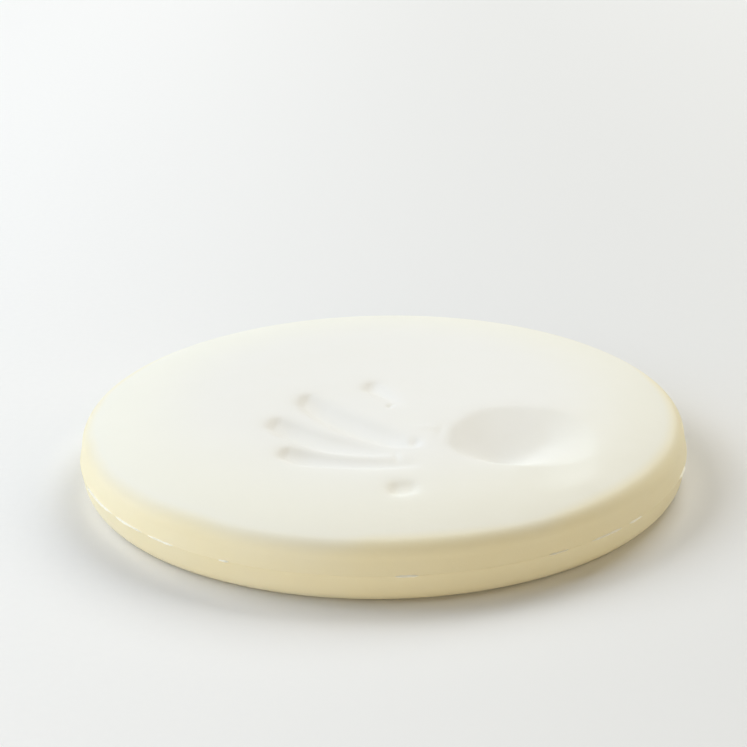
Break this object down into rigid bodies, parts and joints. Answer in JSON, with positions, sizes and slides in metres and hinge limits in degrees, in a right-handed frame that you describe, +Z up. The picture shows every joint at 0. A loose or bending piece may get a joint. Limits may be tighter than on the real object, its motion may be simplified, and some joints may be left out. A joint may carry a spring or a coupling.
{
  "type": "round foam seat pad",
  "caption": "Round moulded memory-foam seat pad with a soft domed rim, a mould parting line round its side and a hand impression pressed into its top.",
  "frame": {"origin": "centre of the underside, on the surface that the pad rests on", "axes": "+Z up through the pad's thickness; -Y towards the picture's camera; the fingers of the impression point to -X and its thumb to -Y"},
  "size_m": [0.3999, 0.4017, 0.054],
  "materials": {
    "upper_skin": "matte, softly powdery moulded polyurethane skin, whiter on the flat top than on the rim",
    "lower_skin": "matte moulded polyurethane skin, a little greyer than the upper skin",
    "comfort_foam": "matte slow-recovery polyurethane foam",
    "web": "matte hot-melt adhesive web",
    "support_foam": "matte firm polyurethane foam",
    "flash": "matte, thin torn mould flash"
  },
  "bodies": {
    "root": {"upper_skin": "upper_skin", "comfort_foam": "comfort_foam", "bond_web": "web", "support_foam": "support_foam", "lower_skin": "lower_skin", "parting_flash": "flash"}
  },
  "joints": []
}
